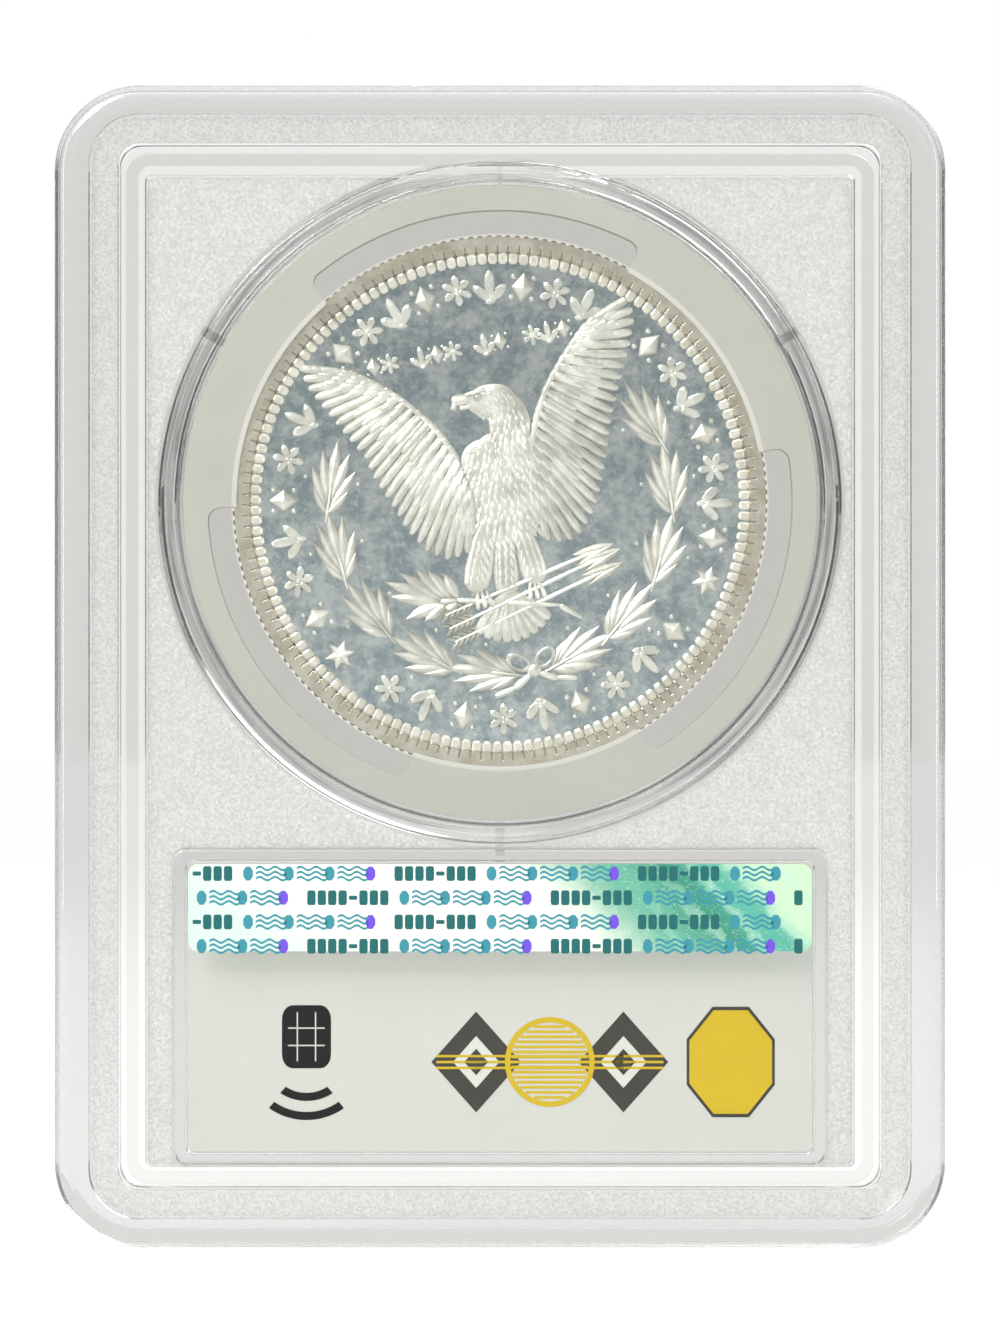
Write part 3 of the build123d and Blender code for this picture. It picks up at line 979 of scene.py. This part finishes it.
chip_x, chip_up = -13.8, -2.15
arc_up = chip_up - 1.9
card_mark("label_chip_badge", card_print, black_ink,
          (soft_block, [layer(chip_x, chip_up, 3.5, 4.5)]),
          (near_arc, [layer(chip_x, arc_up, 1.2, 1.05)]),
          (far_arc, [layer(chip_x, arc_up, 1.13, 1.05)]))
chip_lines = [layer(chip_x, chip_up + side * 0.62, 2.6, 0.09, level=1) for side in (1, -1)]
chip_lines += [layer(chip_x + side * 0.65, chip_up, 0.09, 3.5, level=1) for side in (-1, 1)]
card_mark("label_chip_lines", card_print, pale_ink, (block, chip_lines))

device_up, device_x, device_radius = -3.95, 3.55, 2.75
lozenge_x = (-1.7, 8.8)
device_lozenges = [layer(across, device_up, 6.4, 7.2) for across in lozenge_x]
device_panes = [layer(across, device_up, 3.3, 3.7, level=1) for across in lozenge_x]
device_cores = [layer(across, device_up, 1.7, 1.9, level=2) for across in lozenge_x]
card_mark("label_device_lozenges", card_print, grey_ink, (diamond, device_lozenges + device_cores))
card_mark("label_device_panes", card_print, pale_ink, (diamond, device_panes))
stripes = []
for row in range(-7, 8):
    up = 0.36 * row
    stripes.append(layer(device_x, device_up + up, 2 * math.sqrt(device_radius ** 2 - up ** 2), 0.2,
                         level=1))
gold_lines = [layer(device_x, device_up + up, 16.2, 0.17, level=2) for up in (-0.42, 0, 0.42)]
card_mark("label_device_stripes", card_print, gold_ink, (block, stripes + gold_lines),
          (thin_ring, [layer(device_x, device_up, 6.4, 6.4, level=1)]))
badge_x = 16.45
card_mark("label_badge_outline", card_print, grey_ink,
          (octagon, [layer(badge_x, device_up, 6.3, 7.9)]))
card_mark("label_badge_gold", card_print, gold_ink,
          (octagon, [layer(badge_x, device_up, 5.9, 7.4, level=1)]))

# The front card carries rows of plain bars and a strip of rules where its entries would be, beside a
# gold roundel.
front_print = (Matrix.Translation((0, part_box("front_label_card")[1].y, card_middle.z))
               @ Matrix.Rotation(math.pi, 4, "Z") @ Matrix.Rotation(math.radians(90), 4, "X")
               @ Matrix.Rotation(math.pi, 4, "Z") @ Matrix.Scale(MM, 4))
entry_left, entry_top, entry_drop, entry_height, entry_gap = -19.5, 6.0, 4.1, 2.1, 1.0
entries = []
for row, widths in enumerate([(5.2, 2.6, 6.4), (3.4, 7.0, 2.2), (4.4, 4.4, 3.8)]):
    start = entry_left
    for width in widths:
        entries.append(layer(start + width / 2, entry_top - row * entry_drop, width, entry_height))
        start += width + entry_gap
rule_left, rule_up, rule_pitch, rule_height = -18.9, -7.2, 0.62, 3.2
rules = [layer(rule_left + rule_pitch * n, rule_up, 0.2 + 0.16 * (n * 7 % 3), rule_height)
         for n in range(28)]
card_mark("front_label_entries", front_print, black_ink, (soft_block, entries), (block, rules))
roundel_x = 13.4
card_mark("front_label_roundel", front_print, gold_ink,
          (roundel, [layer(roundel_x, 0, 11.5, 11.5)]))
card_mark("front_label_roundel_ring", front_print, grey_ink,
          (thin_ring, [layer(roundel_x, 0, 13.6, 13.6)]),
          (diamond, [layer(roundel_x, 0, 5.6, 8.2, level=1)]))

# The radio tag laminated between the cards: a clear film, an etched aluminium coil and a bare chip.
def tag_finish(name, low, high, metallic, roughness, grain_size):
    material, f = new_material(name)
    grain = f.noise(grain_size, detail=2)
    f.output(f.principled({"Base Color": f.mix(grain, low, high), "Metallic": metallic,
                           "Roughness": roughness + grain * 0.12, "Normal": f.bump(grain, 0.004)}))
    return material


coat_node("tag_film", tag_finish("carrier_film", (0.70, 0.72, 0.70), (0.80, 0.82, 0.80),
                                 metallic=0.0, roughness=0.3, grain_size=2.0))
coat_node("tag_coil", tag_finish("etched_aluminium", (0.74, 0.75, 0.77), (0.90, 0.90, 0.92),
                                 metallic=1.0, roughness=0.32, grain_size=0.5))
coat_node("tag_chip", tag_finish("chip_resin", (0.02, 0.02, 0.022), (0.06, 0.06, 0.06),
                                 metallic=0.0, roughness=0.5, grain_size=0.3))

# The foil strip stuck along the top of the rear window. It is holographic foil: white to cyan on the
# left and rainbow green on the right, under four rows of small teal, sea green and violet marks.
foil_low, foil_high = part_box("security_sticker")
foil_middle = (foil_low + foil_high) / 2
foil_print = print_plane(foil_low.y, foil_middle.z)


def holographic_foil():
    material, f = new_material("holographic_foil")
    x, _, z = f.place()
    up = z - foil_middle.z / MM
    swirl = f.noise(2.4, detail=3)
    slant = x + up * 0.9 + swirl * 3.0
    left = f.mix((x + up * 1.3).rise(-22.0, -9.0), (0.58, 0.73, 0.64), (0.82, 0.84, 0.73))
    right = f.mix(slant.rise(4.0, 12.0), left, (0.12, 0.40, 0.28))
    right = f.mix(slant.rise(12.5, 15.5), right, (0.04, 0.27, 0.18))
    right = f.mix(slant.rise(16.5, 18.5), right, (0.09, 0.40, 0.30))
    right = f.mix(slant.rise(19.5, 22.0), right, (0.50, 0.72, 0.48))
    # Painted glints and painted sheen: bright glitter specks and lighter rainbow bands laid over the
    # foil's colour.
    grain_and_painted_glints = f.noise(0.18, detail=2)
    painted_sheen_bands = (slant * 2.2).sum("SINE", slant * 2.2)
    colour = f.mix(painted_sheen_bands.rise(0.2, 1.0) * x.rise(8.0, 15.0) * 0.4, right, (0.44, 0.72, 0.56))
    colour = f.mix(grain_and_painted_glints.rise(0.55, 0.75) * 0.25, colour, (0.95, 0.98, 0.96))
    foil = f.principled({"Base Color": colour, "Metallic": 0.25,
                         "Roughness": 0.3 + grain_and_painted_glints * 0.15, "Normal": f.bump(grain_and_painted_glints, 0.006)})
    thin = f.transparent(0.8, 0.82, 0.82)
    from_lamp = f.add("ShaderNodeLightPath", out=1)
    f.output(f.blend(from_lamp, foil, thin))
    return material


coat_node("security_sticker", holographic_foil())
teal_ink = ink("dark_teal_ink", (0.02, 0.13, 0.13), 0.3)
violet_ink = ink("violet_ink", (0.16, 0.08, 0.62), 0.3)
sea_ink = ink("sea_green_ink", (0.05, 0.26, 0.32), 0.3)
foil_half = (foil_high.x - foil_low.x) / 2 / MM
row_top, row_pitch, row_shift, group_left, group_pitch = 2.42, 1.72, 6.2, -24.5, 17.3
bar_pitch, bar_width, bar_height, dash_height = 0.74, 0.6, 1.05, 0.3
pips_start, pip_pitch, ripple_offset, line_gap = 6.6, 2.9, 1.65, 0.36
words, ripples, violet_pips, sea_pips = [], [], [], []
for row in range(4):
    up = row_top - row * row_pitch
    start = group_left - (row % 2) * row_shift
    while start < foil_half:
        for number in range(8):
            across = start + number * bar_pitch
            if abs(across) < foil_half - 0.35:
                words.append(layer(across, up, bar_width, bar_height if number != 4 else dash_height))
        across = start + pips_start
        for step in range(4):
            if abs(across) < foil_half - 0.5:
                pips = violet_pips if step == 3 else sea_pips
                pips.append(layer(across, up, 0.78, 1.0))
            middle = across + ripple_offset
            if step < 3 and abs(middle) < foil_half - 1.3:
                ripples += [layer(middle, up + line, 1.0, 1.0) for line in (-line_gap, 0, line_gap)]
            across += pip_pitch
        start += group_pitch
ripple = new_object(bpy.ops.mesh.primitive_plane_add, size=1)
open_edit()
bpy.ops.transform.resize(value=(2.2, 0.17, 1))
bpy.ops.mesh.subdivide(number_cuts=11)
draw_up()
close_edit()
wave_height, wave_length = 0.13, 1.1
for corner in ripple.data.vertices:
    corner.co.y += wave_height * math.sin(corner.co.x * math.tau / wave_length)
pip = flat_stamp(regular(8, 0.48, 0.54, first=22.5))
for name, punch, places, foil_ink in (("foil_words", soft_block, words, teal_ink),
                                      ("foil_ripples", ripple, ripples, sea_ink),
                                      ("foil_violet_pips", pip, violet_pips, violet_ink),
                                      ("foil_sea_pips", pip, sea_pips, sea_ink)):
    mark = stamp(name, [(punch, places)], foil_print, foil_ink, "case")
    mark.visible_shadow = False
for used in (block, soft_block, diamond, octagon, roundel, near_arc, far_arc, thin_ring, ripple, pip):
    bpy.data.objects.remove(used)
